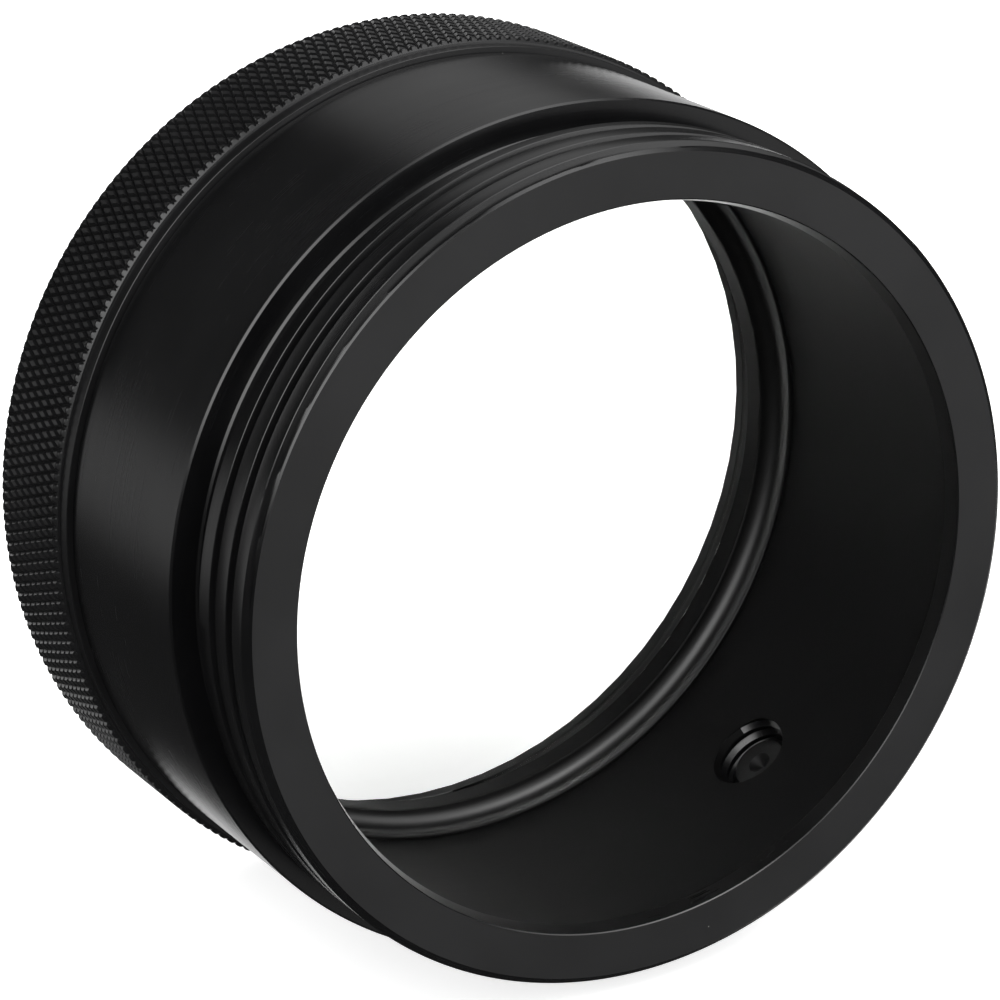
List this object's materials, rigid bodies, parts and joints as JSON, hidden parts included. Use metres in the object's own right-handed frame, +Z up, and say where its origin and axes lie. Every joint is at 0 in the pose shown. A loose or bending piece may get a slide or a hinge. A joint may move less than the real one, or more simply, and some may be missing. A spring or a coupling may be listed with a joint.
{
  "type": "barlow lens",
  "caption": "Short round Barlow lens unit: threaded front end, smooth black barrel with a radial lock screw, and a knurled rear ring that clamps the lens cell.",
  "frame": {"origin": "on the optical axis, half way between the front and rear faces, which is the centre of the bounding box", "axes": "+Y along the optical axis from the threaded front end towards the knurled rear end, +Z up, +X to the right seen from the front"},
  "size_m": [0.0512, 0.0288, 0.0512],
  "materials": {
    "barrel_black": "satin black anodised",
    "cell_black": "matte black anodised",
    "ring_black": "black anodised, diamond knurled",
    "retainer_black": "matte black anodised",
    "screw_black": "black oxide",
    "black_nylon": "matte",
    "crown_glass": "polished and coated",
    "flint_glass": "polished and coated",
    "shim_black": "thin black film",
    "nitrile_rubber": "matte",
    "white_acetal": "smooth"
  },
  "bodies": {
    "barrel": {"main_barrel": "barrel_black", "lens_cell": "cell_black", "cell_o_ring": "nitrile_rubber", "front_lens": "crown_glass", "lens_shim_1": "shim_black", "lens_shim_2": "shim_black", "lens_shim_3": "shim_black", "rear_lens": "flint_glass", "lens_retaining_ring": "retainer_black"},
    "washer": {"slip_washer": "white_acetal"},
    "ring": {"knurled_ring": "ring_black"},
    "screw_tip": {"lock_screw_tip": "black_nylon"},
    "screw": {"lock_screw": "screw_black"}
  },
  "joints": [
    {"name": "ring_travel", "type": "slide", "parent": "barrel", "child": "washer", "axis": [0, 1, 0], "range_m": [0, 0.00375]},
    {"name": "ring_turn", "type": "hinge", "parent": "washer", "child": "ring", "pos_m": [0, 0.0095, 0], "axis": [0, 1, 0], "range_deg": [0, 1800]},
    {"name": "screw_travel", "type": "slide", "parent": "barrel", "child": "screw_tip", "axis": [-0.6428, 0, 0.766], "range_m": [0, 0.0032]},
    {"name": "screw_turn", "type": "hinge", "parent": "screw_tip", "child": "screw", "pos_m": [0.01813, -0.00302, -0.0216], "axis": [-0.6428, 0, 0.766], "range_deg": [0, 1440]}
  ],
  "couplings": [
    {"joint": "ring_travel", "follows": "ring_turn", "m_per_rad": 0.00011936},
    {"joint": "screw_turn", "follows": "screw_travel", "rad_per_m": 7854}
  ]
}
